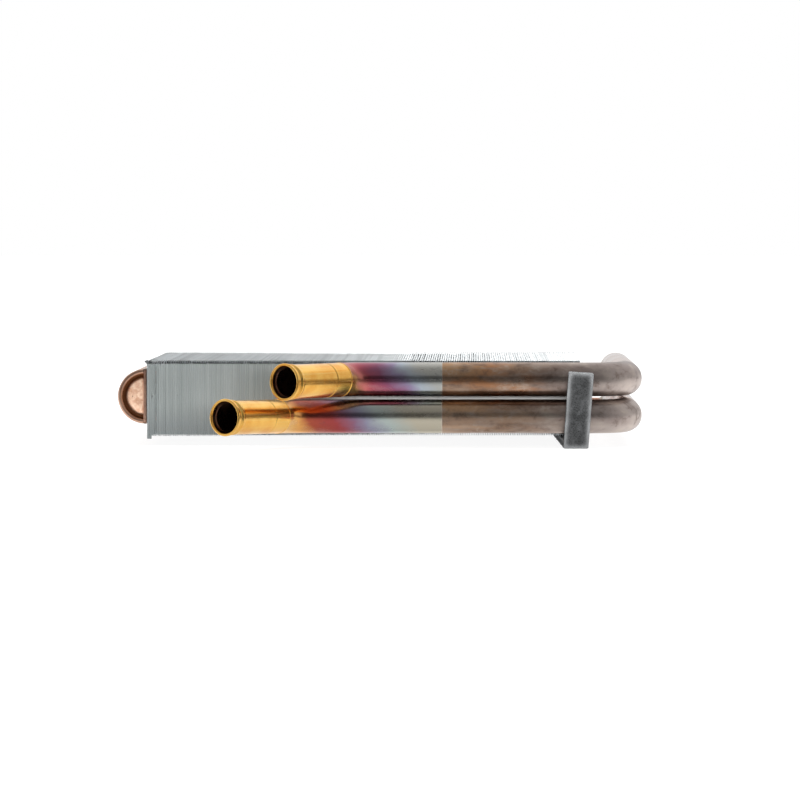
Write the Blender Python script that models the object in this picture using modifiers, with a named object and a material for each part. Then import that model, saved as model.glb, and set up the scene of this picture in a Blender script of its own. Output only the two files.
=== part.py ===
"""A tube-and-fin heater core, lying flat: +X runs along the tubes, +Y away from the two
front pipes and +Z up. The origin is the centre of the fin block's underside.

Coolant comes in at one spigot, runs along its front pipe and round the elbow into the
header at the right-hand end, through the ten tubes of its row to the turn tank at the
left-hand end, back through the ten tubes of the other row, and out the same way.
"""

import math

import bmesh
import bpy
from mathutils import Matrix, Vector

# All sizes are in metres, and all angles in degrees.
GAP = 0.0003  # between pieces that meet
CUT_PAST = 0.002  # how far a cutter runs past the face that it opens

CORE_LENGTH, CORE_DEPTH, CORE_HEIGHT = 0.238, 0.158, 0.042
FIN_PACKS = 5
FIN_HOLE_SIDES = 8

TUBE_RADIUS = 0.0035
TUBE_WALL = 0.0005
TUBE_SIDES = 12
TUBE_COLUMNS = 10
COLUMN_PITCH = 0.0154
ROW_MIDDLE_Z = 0.0223
ROW_SPACING = 0.0201
TUBE_PAST_PLATE = 0.0017
TUBE_INTO_HEADER = 0.0028

TANK_RADIUS = 0.015
TANK_WALL = 0.001
TANK_ARC_STEPS = 16
TANK_LENGTH = 0.155
TANK_CENTRE_X = -0.1200
TANK_PLATE_THICKNESS = 0.001
CAP_LIP = 0.0012
CAP_FLOOR = 0.001
CAP_RECESS = 0.0022

PIPE_RADIUS = 0.00925
PIPE_WALL = 0.0009
PIPE_BEVEL_RESOLUTION = 10  # 24 sides
HEADER_X = 0.143
HEADER_END_Y = 0.0785
FRONT_RUN_Y = -0.093
ELBOW_RADIUS = 0.021
ELBOW_STEPS = 8
BEND_RADIUS = 0.020
BEND_STEPS = 6
HEADER_CAP_SET_BACK = 0.0015
HEADER_CAP_THICKNESS = 0.001
HEADER_CAP_SKIRT = 0.003
HEADER_CAP_CHAMFER = 0.0006
HEADER_CAP_STEPS = 24

SPIGOT_LENGTH = 0.047
SPIGOT_STEPS = 28
SPIGOT_LIP_RADIUS = 0.0100
SPIGOT_SHOULDER_RADIUS = 0.0095
SPIGOT_BODY_RADIUS = 0.0092
SPIGOT_GROOVE_RADIUS = 0.0087
SPIGOT_FACE_RADIUS = 0.0096  # outer edge of the flat ring at the mouth
SPIGOT_MOUTH_RADIUS = 0.0087
SPIGOT_BORE_RADIUS = 0.0082
SPIGOT_RIDGE_RADIUS = 0.0077
SPIGOT_TAIL_BORE_RADIUS = 0.0073
SPIGOT_TAIL = 0.003
SPIGOT_STUB = 0.002  # straight pipe between the bend and the spigot
HOSE_STOP_HEIGHT = 0.012  # of the fine groove that marks how far the hose goes on

FOAM_WIDTH = 0.0136
FOAM_FRONT_THICKNESS = 0.006
FOAM_UNDER_THICKNESS = 0.0043
FOAM_TOP_Z = 0.0367
FOAM_BACK_Y = 0.074
FOAM_TOP_X = 0.1182
FOAM_LEAN = 4.0  # of the front leg, towards -X at the bottom
FOAM_SKEW = 1.2  # of the leg under the block, towards -X at the back

ROWS = {"lower": ROW_MIDDLE_Z - ROW_SPACING / 2, "upper": ROW_MIDDLE_Z + ROW_SPACING / 2}
# name: row, where the front run ends, how far the bend turns forward, and how far the bent
# end is lifted out of the level
PIPES = {
    "inlet": ("lower", -0.0289, 56.0, 1.7),
    "outlet": ("upper", 0.0042, 53.0, 0.2),
}


def clear_scene():
    for obj in list(bpy.data.objects):
        bpy.data.objects.remove(obj, do_unlink=True)


def new_collection(name, hidden=False):
    collection = bpy.data.collections.new(name)
    collection.hide_render = hidden
    bpy.context.scene.collection.children.link(collection)
    return collection


def new_material(name, colour, metallic, roughness):
    material = bpy.data.materials.new(name)
    material.use_nodes = True
    shader = material.node_tree.nodes["Principled BSDF"]
    shader.inputs["Base Color"].default_value = (*colour, 1.0)
    shader.inputs["Metallic"].default_value = metallic
    shader.inputs["Roughness"].default_value = roughness
    return material


clear_scene()
PARTS = new_collection("heater_core")
CUTTERS = new_collection("cutters", hidden=True)


def add_part(name, mesh, colour, metallic, roughness):
    """A node of the model, in a material of its own."""
    obj = bpy.data.objects.new(name, mesh)
    PARTS.objects.link(obj)
    obj.data.materials.append(new_material(name, colour, metallic, roughness))
    return obj


def add_cutter(name, mesh):
    obj = bpy.data.objects.new(name, mesh)
    obj.hide_render = True
    obj.display_type = "WIRE"
    CUTTERS.objects.link(obj)
    return obj


def cut(obj, cutter):
    modifier = obj.modifiers.new("cut_" + cutter.name, "BOOLEAN")
    modifier.operation = "DIFFERENCE"
    modifier.solver = "EXACT"
    modifier.object = cutter


def smooth(mesh, angle=40.0):
    mesh.shade_smooth()
    mesh.set_sharp_from_angle(angle=math.radians(angle))


def box_mesh(name, low, high):
    size = Vector(high) - Vector(low)
    middle = (Vector(high) + Vector(low)) / 2
    form = bmesh.new()
    bmesh.ops.create_cube(form, size=1.0, matrix=Matrix.Translation(middle) @ Matrix.Diagonal((*size, 1.0)))
    mesh = bpy.data.meshes.new(name)
    form.to_mesh(mesh)
    form.free()
    return mesh


def tube_places():
    """Each tube's row, its column counted from the front, and its y and z."""
    for row, z in ROWS.items():
        for column in range(TUBE_COLUMNS):
            yield row, column + 1, (column - (TUBE_COLUMNS - 1) / 2) * COLUMN_PITCH, z


def hole_cutter(name, rows, sides, start_x, end_x):
    """One prism along X for each tube of these rows, whose flats clear the tube by GAP."""
    corner_radius = (TUBE_RADIUS + GAP) / math.cos(math.pi / sides)
    along_x = Matrix.Rotation(math.pi / 2, 4, "Y") @ Matrix.Rotation(math.pi / sides, 4, "Z")
    form = bmesh.new()
    for row, _, y, z in tube_places():
        if row not in rows:
            continue
        bmesh.ops.create_cone(
            form,
            cap_ends=True,
            segments=sides,
            radius1=corner_radius,
            radius2=corner_radius,
            depth=end_x - start_x,
            matrix=Matrix.Translation(((start_x + end_x) / 2, y, z)) @ along_x,
        )
    mesh = bpy.data.meshes.new(name)
    form.to_mesh(mesh)
    form.free()
    return add_cutter(name, mesh)


def turned(name, profile, steps, colour, metallic, roughness, has_bore=True):
    """The (radius, height) profile turned about Z. It runs down the outer side, then up the bore if it
    has one, and otherwise both its ends lie on the axis."""
    mesh = bpy.data.meshes.new(name)
    count = len(profile)
    edges = [(i, (i + 1) % count) for i in range(count if has_bore else count - 1)]
    mesh.from_pydata([(radius, 0.0, height) for radius, height in profile], edges, [])
    obj = add_part(name, mesh, colour, metallic, roughness)
    screw = obj.modifiers.new("turn", "SCREW")
    screw.axis = "Z"
    screw.steps = steps
    screw.render_steps = steps
    screw.use_merge_vertices = True
    screw.merge_threshold = 0.00001
    screw.use_smooth_shade = True
    return obj


def mesh_of_curve(name, curve):
    """The curve's own mesh, with its caps welded on."""
    guide = bpy.data.objects.new(name + "_guide", curve)
    PARTS.objects.link(guide)
    evaluated = guide.evaluated_get(bpy.context.evaluated_depsgraph_get())
    mesh = bpy.data.meshes.new_from_object(evaluated)
    mesh.name = name
    bpy.data.objects.remove(guide, do_unlink=True)
    form = bmesh.new()
    form.from_mesh(mesh)
    bmesh.ops.remove_doubles(form, verts=form.verts, dist=0.00001)
    bmesh.ops.recalc_face_normals(form, faces=form.faces)
    form.to_mesh(mesh)
    form.free()
    return mesh


def swept(name, points, radius):
    """A round solid bar along the points."""
    curve = bpy.data.curves.new(name, "CURVE")
    curve.dimensions = "3D"
    curve.bevel_depth = radius
    curve.bevel_resolution = PIPE_BEVEL_RESOLUTION
    curve.use_fill_caps = True
    spline = curve.splines.new("POLY")
    spline.points.add(len(points) - 1)
    for spline_point, point in zip(spline.points, points):
        spline_point.co = (*point, 1.0)
    return mesh_of_curve(name, curve)


def flat_outline(name, outline, thickness):
    """The outline in the XY plane, filled and made this thick along Z."""
    curve = bpy.data.curves.new(name, "CURVE")
    curve.dimensions = "2D"
    curve.fill_mode = "BOTH"
    curve.extrude = thickness / 2
    spline = curve.splines.new("POLY")
    spline.points.add(len(outline) - 1)
    for spline_point, (x, y) in zip(spline.points, outline):
        spline_point.co = (x, y, 0.0, 1.0)
    spline.use_cyclic_u = True
    return mesh_of_curve(name, curve)


# Fin block: each pack stands for a run of thin fins, pressed onto the twenty tubes


def make_fin_packs():
    pack_length = (CORE_LENGTH - (FIN_PACKS - 1) * GAP) / FIN_PACKS
    holes = hole_cutter(
        "fin_holes", ROWS, FIN_HOLE_SIDES, -CORE_LENGTH / 2 - CUT_PAST, CORE_LENGTH / 2 + CUT_PAST
    )
    for pack in range(FIN_PACKS):
        start_x = -CORE_LENGTH / 2 + pack * (pack_length + GAP)
        mesh = box_mesh(
            "fin_pack",
            (start_x, -CORE_DEPTH / 2, 0.0),
            (start_x + pack_length, CORE_DEPTH / 2, CORE_HEIGHT),
        )
        cut(add_part(f"fin_pack_{pack + 1}", mesh, (0.68, 0.71, 0.72), 1.0, 0.35), holes)


# Tubes: from inside the turn tank, through every fin, to inside the header


def tank_plate_x():
    """The faces of the tank's header plate, the one at the tank first."""
    fin_side = -CORE_LENGTH / 2 - GAP
    return fin_side - TANK_PLATE_THICKNESS, fin_side


def make_tubes():
    start_x = tank_plate_x()[0] - TUBE_PAST_PLATE
    end_x = HEADER_X - PIPE_RADIUS + TUBE_INTO_HEADER
    length = end_x - start_x
    bore = TUBE_RADIUS - TUBE_WALL
    profile = [(TUBE_RADIUS, length), (TUBE_RADIUS, 0.0), (bore, 0.0), (bore, length)]
    for row, column, y, z in tube_places():
        tube = turned(f"{row}_tube_{column:02d}", profile, TUBE_SIDES, (0.72, 0.40, 0.26), 1.0, 0.35)
        tube.location = (start_x, y, z)
        tube.rotation_euler = (0.0, math.pi / 2, 0.0)


# Turn tank: a plate that takes the tube ends, a D-shaped shell and two dished end caps


def tank_arc(radius, flat_x):
    """Points round the tank's outer side, in the XZ plane, from its top edge to its bottom one."""
    half_turn = math.pi - math.acos((flat_x - TANK_CENTRE_X) / radius)
    points = []
    for step in range(TANK_ARC_STEPS + 1):
        angle = math.pi - half_turn + 2 * half_turn * step / TANK_ARC_STEPS
        points.append((TANK_CENTRE_X + radius * math.cos(angle), ROW_MIDDLE_Z + radius * math.sin(angle)))
    return points


def make_tank():
    plate_low_x, plate_high_x = tank_plate_x()
    half_length = TANK_LENGTH / 2
    plate = add_part(
        "tank_header_plate",
        box_mesh(
            "tank_header_plate",
            (plate_low_x, -half_length, ROW_MIDDLE_Z - TANK_RADIUS),
            (plate_high_x, half_length, ROW_MIDDLE_Z + TANK_RADIUS),
        ),
        (0.70, 0.40, 0.27),
        1.0,
        0.4,
    )
    cut(plate, hole_cutter("plate_holes", ROWS, TUBE_SIDES, plate_low_x - CUT_PAST, plate_high_x + CUT_PAST))

    shell_edge_x = plate_low_x - GAP
    form = bmesh.new()
    columns = []
    for y in (-half_length, half_length):
        columns.append([form.verts.new((x, y, z)) for x, z in tank_arc(TANK_RADIUS, shell_edge_x)])
    front, back = columns
    for step in range(TANK_ARC_STEPS):
        form.faces.new((front[step], front[step + 1], back[step + 1], back[step]))
    bmesh.ops.recalc_face_normals(form, faces=form.faces)
    mesh = bpy.data.meshes.new("turn_tank_shell")
    form.to_mesh(mesh)
    form.free()
    smooth(mesh)
    shell = add_part("turn_tank_shell", mesh, (0.50, 0.30, 0.22), 1.0, 0.45)
    wall = shell.modifiers.new("wall", "SOLIDIFY")
    wall.thickness = TANK_WALL
    faces_out = mesh.polygons[TANK_ARC_STEPS // 2].normal.x < 0
    wall.offset = -1.0 if faces_out else 1.0
    wall.use_even_offset = True

    for name, side in (("turn_tank_front_cap", -1), ("turn_tank_back_cap", 1)):
        make_tank_cap(name, side, shell_edge_x)


def make_tank_cap(name, side, flat_x):
    """A D-shaped dish set inside the end of the shell, with its lip flush with the shell's edge."""
    rim_y = side * TANK_LENGTH / 2
    cap_radius = TANK_RADIUS - TANK_WALL - GAP
    depth = CAP_RECESS + CAP_FLOOR
    upright = Matrix.Rotation(math.pi / 2, 4, "X")

    body = flat_outline(name, tank_arc(cap_radius, flat_x), depth)
    body.transform(Matrix.Translation((0.0, rim_y - side * depth / 2, 0.0)) @ upright)
    cap = add_part(name, body, (0.78, 0.48, 0.34), 1.0, 0.4)

    dish_depth = CAP_RECESS + CUT_PAST
    dish = flat_outline(name + "_dish", tank_arc(cap_radius - CAP_LIP, flat_x - CAP_LIP), dish_depth)
    dish_middle = rim_y - side * (CAP_RECESS - dish_depth / 2)
    dish.transform(Matrix.Translation((0.0, dish_middle, 0.0)) @ upright)
    cut(cap, add_cutter(name + "_dish", dish))


# Pipes: each is one bent copper tube, its header run pierced for a row of tubes


def pipe_route(row_z, run_end_x, bend_angle, lift):
    """The centreline from the header's closed end to the spigot, and the way that the spigot points."""
    points = [Vector((HEADER_X, HEADER_END_Y, row_z))]
    elbow_centre = Vector((HEADER_X - ELBOW_RADIUS, FRONT_RUN_Y + ELBOW_RADIUS, row_z))
    for step in range(ELBOW_STEPS + 1):
        angle = math.pi / 2 * step / ELBOW_STEPS
        points.append(elbow_centre + ELBOW_RADIUS * Vector((math.cos(angle), -math.sin(angle), 0.0)))

    level_out = Matrix.Rotation(-math.radians(lift), 3, "X")
    run_end = Vector((run_end_x, FRONT_RUN_Y, row_z))
    turn = math.radians(bend_angle)
    for step in range(BEND_STEPS + 1):
        angle = turn * step / BEND_STEPS
        offset = BEND_RADIUS * Vector((-math.sin(angle), math.cos(angle) - 1.0, 0.0))
        points.append(run_end + level_out @ offset)
    heading = level_out @ Vector((-math.cos(turn), -math.sin(turn), 0.0))
    points.append(points[-1] + SPIGOT_STUB * heading)
    return points, heading


def make_pipe(name, row, route, heading):
    pipe = add_part(
        f"{name}_pipe", swept(f"{name}_pipe", route, PIPE_RADIUS), (0.45, 0.29, 0.22), 1.0, 0.4
    )
    smooth(pipe.data)
    past_header = route[0] + Vector((0.0, CUT_PAST, 0.0))
    past_stub = route[-1] + CUT_PAST * heading
    bore = swept(f"{name}_bore", [past_header, *route[1:-1], past_stub], PIPE_RADIUS - PIPE_WALL)
    cut(pipe, add_cutter(f"{name}_bore", bore))
    cut(
        pipe,
        hole_cutter(
            f"{name}_tube_holes", (row,), TUBE_SIDES, HEADER_X - PIPE_RADIUS - CUT_PAST, HEADER_X - CUT_PAST
        ),
    )


def make_header_cap(name, row_z):
    """A shallow cup pressed into the far end of the header run."""
    radius = PIPE_RADIUS - PIPE_WALL - GAP
    bore = radius - HEADER_CAP_THICKNESS
    profile = [
        (0.0, 0.0),
        (radius - HEADER_CAP_CHAMFER, 0.0),
        (radius, -HEADER_CAP_CHAMFER),
        (radius, -HEADER_CAP_SKIRT),
        (bore, -HEADER_CAP_SKIRT),
        (bore, -HEADER_CAP_THICKNESS),
        (0.0, -HEADER_CAP_THICKNESS),
    ]
    colour = (0.66, 0.40, 0.28)
    cap = turned(f"{name}_header_cap", profile, HEADER_CAP_STEPS, colour, 1.0, 0.4, has_bore=False)
    cap.location = (HEADER_X, HEADER_END_Y - HEADER_CAP_SET_BACK, row_z)
    cap.rotation_euler = (-math.pi / 2, 0.0, 0.0)


def make_spigot(name, route, heading):
    """The turned hose end: a lip, a rolled groove behind it, a shoulder, a plain body with the fine
    hose stop groove, and a tail that goes into the pipe."""
    length = SPIGOT_LENGTH
    tail_radius = PIPE_RADIUS - PIPE_WALL - GAP
    profile = [
        (SPIGOT_FACE_RADIUS, length),
        (SPIGOT_LIP_RADIUS, length - 0.0005),
        (SPIGOT_LIP_RADIUS, length - 0.0019),
        (SPIGOT_SHOULDER_RADIUS, length - 0.0026),
        (SPIGOT_GROOVE_RADIUS, length - 0.0031),
        (SPIGOT_GROOVE_RADIUS, length - 0.0044),
        (SPIGOT_SHOULDER_RADIUS, length - 0.0051),
        (SPIGOT_SHOULDER_RADIUS, length - 0.0063),
        (SPIGOT_BODY_RADIUS, length - 0.0069),
        (SPIGOT_BODY_RADIUS, HOSE_STOP_HEIGHT + 0.0007),
        (SPIGOT_GROOVE_RADIUS, HOSE_STOP_HEIGHT),
        (SPIGOT_BODY_RADIUS, HOSE_STOP_HEIGHT - 0.0007),
        (SPIGOT_BODY_RADIUS, GAP),
        (tail_radius, GAP),
        (tail_radius, -SPIGOT_TAIL),
        (SPIGOT_TAIL_BORE_RADIUS, -SPIGOT_TAIL),
        (SPIGOT_TAIL_BORE_RADIUS, 0.0012),
        (SPIGOT_BORE_RADIUS, 0.0030),
        (SPIGOT_BORE_RADIUS, length - 0.0055),
        (SPIGOT_RIDGE_RADIUS, length - 0.0044),
        (SPIGOT_RIDGE_RADIUS, length - 0.0031),
        (SPIGOT_BORE_RADIUS, length - 0.0020),
        (SPIGOT_MOUTH_RADIUS, length),
    ]
    spigot = turned(f"{name}_spigot", profile, SPIGOT_STEPS, (0.86, 0.62, 0.24), 1.0, 0.25)
    spigot.location = route[-1]
    spigot.rotation_mode = "QUATERNION"
    spigot.rotation_quaternion = heading.to_track_quat("Z", "Y")


def make_pipes():
    for name, (row, run_end_x, bend_angle, lift) in PIPES.items():
        route, heading = pipe_route(ROWS[row], run_end_x, bend_angle, lift)
        make_pipe(name, row, route, heading)
        make_header_cap(name, ROWS[row])
        make_spigot(name, route, heading)


# Foam strip: glued over the front of the pipes and folded back under the fin block


def make_foam_strip():
    back_y = FRONT_RUN_Y - PIPE_RADIUS - GAP
    front_y = back_y - FOAM_FRONT_THICKNESS
    under_top_z = -GAP
    bottom_z = under_top_z - FOAM_UNDER_THICKNESS
    outline = [
        (front_y, bottom_z),
        (FOAM_BACK_Y, bottom_z),
        (FOAM_BACK_Y, under_top_z),
        (back_y, under_top_z),
        (back_y, FOAM_TOP_Z),
        (front_y, FOAM_TOP_Z),
    ]
    mesh = flat_outline("foam_seal_strip", outline, FOAM_WIDTH)
    mesh.transform(Matrix(((0, 0, 1, 0), (1, 0, 0, 0), (0, 1, 0, 0), (0, 0, 0, 1))))
    lean = math.radians(FOAM_LEAN)
    skew = math.radians(FOAM_SKEW)
    for vertex in mesh.vertices:
        across = vertex.co.x
        above = vertex.co.z - bottom_z
        vertex.co.x += FOAM_TOP_X + (vertex.co.z - FOAM_TOP_Z) * math.tan(lean)
        vertex.co.x -= (vertex.co.y - front_y) * math.tan(skew)
        vertex.co.z -= across * math.sin(lean) * above / (FOAM_TOP_Z - bottom_z)
    add_part("foam_seal_strip", mesh, (0.16, 0.16, 0.17), 0.0, 0.95)


make_fin_packs()
make_tubes()
make_tank()
make_pipes()
make_foam_strip()
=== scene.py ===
"""The looks of a tube-and-fin heater core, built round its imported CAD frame.

The fin packs become separate thin fins, the copper tank, tubes and pipes get their finer shapes,
heat tint, solder and dents, the hose spigots are turned brass, and the foam strip is porous.
"""

import math

import bmesh
import bpy
import numpy as np
from mathutils import Matrix, Vector, noise


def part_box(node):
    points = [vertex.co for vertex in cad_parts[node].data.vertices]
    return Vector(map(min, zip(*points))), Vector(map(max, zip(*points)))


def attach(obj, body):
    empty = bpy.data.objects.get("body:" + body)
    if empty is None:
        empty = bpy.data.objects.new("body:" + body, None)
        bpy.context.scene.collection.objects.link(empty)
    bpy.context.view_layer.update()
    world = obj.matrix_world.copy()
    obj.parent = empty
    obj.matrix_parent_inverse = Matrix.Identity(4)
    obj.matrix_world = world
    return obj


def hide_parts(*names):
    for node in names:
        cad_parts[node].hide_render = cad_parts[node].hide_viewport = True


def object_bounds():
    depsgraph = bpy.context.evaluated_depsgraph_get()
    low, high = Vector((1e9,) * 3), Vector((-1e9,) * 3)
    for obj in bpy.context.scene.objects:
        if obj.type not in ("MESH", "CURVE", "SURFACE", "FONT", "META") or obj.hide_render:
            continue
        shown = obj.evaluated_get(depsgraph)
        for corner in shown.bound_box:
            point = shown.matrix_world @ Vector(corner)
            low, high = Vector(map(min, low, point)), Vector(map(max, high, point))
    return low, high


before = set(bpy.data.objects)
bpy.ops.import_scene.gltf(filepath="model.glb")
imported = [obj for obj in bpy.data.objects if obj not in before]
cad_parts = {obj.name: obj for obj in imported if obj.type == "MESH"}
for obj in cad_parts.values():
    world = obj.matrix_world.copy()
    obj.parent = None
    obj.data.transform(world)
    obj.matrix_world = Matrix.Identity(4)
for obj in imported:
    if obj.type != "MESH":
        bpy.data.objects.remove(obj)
cad_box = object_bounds()

MM = 0.001
BODY = "root"

# Places and sizes that the frame gives


def middle(node):
    low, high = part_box(node)
    return (low + high) / 2


CORE_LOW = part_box("fin_pack_1")[0]
CORE_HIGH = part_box("fin_pack_5")[1]
TUBE_COLUMNS = 10
TUBE_LOW, TUBE_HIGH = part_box("lower_tube_01")
TUBE_RADIUS = (TUBE_HIGH.z - TUBE_LOW.z) / 2
ROW_Z = {"lower": middle("lower_tube_01").z, "upper": middle("upper_tube_01").z}
COLUMN_Y = [middle(f"lower_tube_{column:02d}").y for column in range(1, TUBE_COLUMNS + 1)]
COLUMN_PITCH = COLUMN_Y[1] - COLUMN_Y[0]
ROW_MIDDLE_Z = (ROW_Z["lower"] + ROW_Z["upper"]) / 2
HEADER_X = middle("inlet_header_cap").x
HEADER_END_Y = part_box("inlet_pipe")[1].y
PIPE_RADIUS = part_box("inlet_pipe")[1].x - HEADER_X
TANK_LOW, TANK_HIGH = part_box("turn_tank_shell")

# Camera: a long lens, a little above the block and a little right of its middle

CAMERA_DISTANCE = 2.3308  # from the block's near face
CAMERA_X = 0.058
CAMERA_Z = 0.119
CAMERA_PITCH = 2.42
CAMERA_YAW = 0.94
CAMERA_LENS = 191.9

camera = bpy.data.objects.new("camera", bpy.data.cameras.new("camera"))
bpy.context.scene.collection.objects.link(camera)
camera.location = (CAMERA_X, CORE_LOW.y - CAMERA_DISTANCE, CAMERA_Z)
camera.rotation_euler = (math.radians(90 - CAMERA_PITCH), 0.0, math.radians(CAMERA_YAW))
camera.data.lens = CAMERA_LENS
camera.data.sensor_width = 36.0
camera.data.clip_start = 0.01
camera.data.clip_end = 50.0
bpy.context.scene.camera = camera
bpy.context.scene.view_settings.view_transform = "Standard"


# A small kit for shader nodes


class Nodes:
    """Chains of nodes in one tree. A value can be a number, a colour or another node's socket."""

    def __init__(self, tree):
        self.tree = tree

    def add(self, kind, output, **inputs):
        """A node of this kind with its inputs set or linked, as one of its output sockets."""
        node = self.tree.nodes.new(f"ShaderNode{kind}")
        for name, value in inputs.items():
            self.link(value, node.inputs[name.replace("_", " ")])
        return node.outputs[output]

    def link(self, value, socket):
        if isinstance(value, bpy.types.NodeSocket):
            self.tree.links.new(value, socket)
        else:
            socket.default_value = value

    def split(self, vector):
        """The X, Y and Z of a vector."""
        node = self.tree.nodes.new("ShaderNodeSeparateXYZ")
        self.link(vector, node.inputs["Vector"])
        return node.outputs["X"], node.outputs["Y"], node.outputs["Z"]

    def math(self, operation, first, second=0.0):
        node = self.tree.nodes.new("ShaderNodeMath")
        node.operation = operation
        self.link(first, node.inputs[0])
        self.link(second, node.inputs[1])
        return node.outputs["Value"]

    def plus(self, first, second):
        return self.math("ADD", first, second)

    def minus(self, first, second):
        return self.math("SUBTRACT", first, second)

    def times(self, first, *others):
        for other in others:
            first = self.math("MULTIPLY", first, other)
        return first

    def spread(self, value, low, high, to_low=0.0, to_high=1.0):
        """The value's range from low to high, moved smoothly to another one."""
        node = self.tree.nodes.new("ShaderNodeMapRange")
        node.interpolation_type = "SMOOTHSTEP"
        limits = {"From Min": low, "From Max": high, "To Min": to_low, "To Max": to_high}
        for name, number in {"Value": value, **limits}.items():
            self.link(number, node.inputs[name])
        return node.outputs["Result"]

    def mix(self, factor, first, second):
        node = self.tree.nodes.new("ShaderNodeMix")
        node.data_type = "RGBA"
        self.link(factor, node.inputs["Factor"])
        for value, name in ((first, "A"), (second, "B")):
            socket = [s for s in node.inputs if s.name == name and s.type == "RGBA"][0]
            self.link((*value, 1.0) if isinstance(value, tuple) else value, socket)
        return [s for s in node.outputs if s.type == "RGBA"][0]

    def stain(self, tone, colour, where, low, high, share):
        """The tone with more of another colour, up to this share, as where rises from low to high."""
        return self.mix(self.spread(where, low, high, 0.0, share), tone, colour)

    def ramp(self, factor, stops):
        """Colours along the factor, from (position, colour) stops."""
        node = self.tree.nodes.new("ShaderNodeValToRGB")
        elements = node.color_ramp.elements
        while len(elements) < len(stops):
            elements.new(0.5)
        for element, (position, colour) in zip(elements, stops):
            element.position = position
            element.color = (*colour, 1.0)
        self.link(factor, node.inputs["Fac"])
        return node.outputs["Color"]


class Surface(Nodes):
    """A Principled material, and what varies over the object that wears it."""

    def __init__(self, name, metallic, roughness):
        self.material = bpy.data.materials.new(name)
        self.material.use_nodes = True
        super().__init__(self.material.node_tree)
        self.shader = self.tree.nodes["Principled BSDF"]
        self.set("Metallic", metallic)
        self.set("Roughness", roughness)
        self.place = self.add("TexCoord", "Object")

    def set(self, name, value):
        self.link((*value, 1.0) if isinstance(value, tuple) else value, self.shader.inputs[name])

    def stretched(self, scale):
        """The place in the object, scaled by a different amount along each axis."""
        return self.add("Mapping", "Vector", Scale=scale, Vector=self.place)

    def noise(self, scale, detail=4.0, stretch=(1, 1, 1), distortion=0.0, roughness=0.5):
        place = self.stretched(stretch)
        settings = {"Scale": scale, "Detail": detail, "Roughness": roughness, "Distortion": distortion}
        return self.add("TexNoise", "Fac", Vector=place, **settings)

    def cells(self, scale):
        return self.add("TexVoronoi", "Distance", Vector=self.stretched((1, 1, 1)), Scale=scale)

    def attribute(self, name):
        node = self.tree.nodes.new("ShaderNodeAttribute")
        node.attribute_name = name
        return node.outputs["Fac"]

    def bump(self, height, strength, distance):
        settings = {"Height": height, "Strength": strength, "Distance": distance}
        self.set("Normal", self.add("Bump", "Normal", **settings))


# Materials


def fin_material():
    """Thin rolled aluminium, faintly streaked. The bent sides are weathered, and painted shade darkens
    them towards the foot.
    """
    clean = (0.8, 0.83, 0.84), (0.88, 0.91, 0.92)
    weathered = (0.26, 0.288, 0.284), (0.325, 0.353, 0.349)
    smudge, painted_foot_shade, speck = (0.3, 0.32, 0.325), (0.13, 0.145, 0.15), (0.16, 0.17, 0.17)
    shadow, painted_floor_light, painted_gap_light = (0.015, 0.016, 0.017), (0.9, 0.91, 0.91), (0.52, 0.52, 0.51)
    s = Surface("fin_aluminium", 0.55, 0.38)
    x, y, z = s.split(s.place)
    bent_side = s.attribute("bent_side")
    streaks = s.noise(1.0, 3.0, (520, 8, 10))
    smudges = s.noise(34, 5.0, (1.0, 1.0, 0.5), 0.6)
    specks = s.noise(230, 2.0)
    streaky = s.spread(streaks, 0.3, 0.72)
    tone = s.mix(bent_side, s.mix(streaky, *clean), s.mix(streaky, *weathered))
    tone = s.stain(tone, smudge, smudges, 0.48, 0.8, 0.3)
    # painted shade: the bent sides darken towards the foot, where the floor by the block lies in shadow
    foot = s.spread(z, CORE_LOW.z, CORE_LOW.z + 20 * MM, 0.6, 0.0)
    tone = s.mix(s.times(foot, bent_side), tone, painted_foot_shade)
    tone = s.stain(tone, speck, specks, 0.71, 0.78, 0.6)

    # the sides' edges: a painted shadow line under the top lip, and a painted highlight along the
    # bottom where the glowing floor lights it
    by_the_side = s.spread(s.math("ABSOLUTE", y), CORE_HIGH.y - 7 * MM, CORE_HIGH.y - 3 * MM)
    under_lip = s.spread(z, CORE_HIGH.z - 2.1 * MM, CORE_HIGH.z - 1.4 * MM)
    below_top = s.spread(z, CORE_HIGH.z - 0.2 * MM, CORE_HIGH.z, 1.0, 0.3)
    tone = s.mix(s.times(under_lip, below_top, by_the_side, 0.95), tone, shadow)
    # painted light: the bottom edge of the sides is paler, where the glowing floor lights it
    along_bottom = s.spread(z, CORE_LOW.z + 0.8 * MM, CORE_LOW.z + 1.8 * MM, 0.8, 0.0)
    past_first_fins = s.spread(x, CORE_LOW.x + 2 * MM, CORE_LOW.x + 5 * MM)
    tone = s.mix(s.times(along_bottom, past_first_fins, by_the_side), tone, painted_floor_light)

    # behind the pipes on the near side: painted light, a paler and less metallic stripe where light
    # shows through the gap between the pipes
    level = s.spread(s.math("ABSOLUTE", s.minus(z, ROW_MIDDLE_Z)), 3 * MM, 7 * MM, 1.0, 0.0)
    past_spigots = s.spread(x, -25 * MM, -10 * MM)
    near_side = s.spread(y, CORE_LOW.y + 4 * MM, CORE_LOW.y + 8 * MM, 1.0, 0.0)
    gap_light_share = s.times(level, past_spigots, near_side)
    tone = s.mix(gap_light_share, tone, painted_gap_light)
    uneven = s.times(s.attribute("shade"), s.minus(1.0, bent_side), 0.34)
    s.set("Base Color", s.mix(uneven, tone, (0.2, 0.21, 0.215)))
    s.set("Metallic", s.spread(gap_light_share, 0.0, 1.0, 0.55, 0.3))
    s.set("Roughness", s.spread(smudges, 0.3, 0.75, 0.32, 0.5))
    s.bump(streaks, 0.15, 0.0001)
    return s.material


# The heat colours of each pipe, by the millimetres from its spigot

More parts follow.
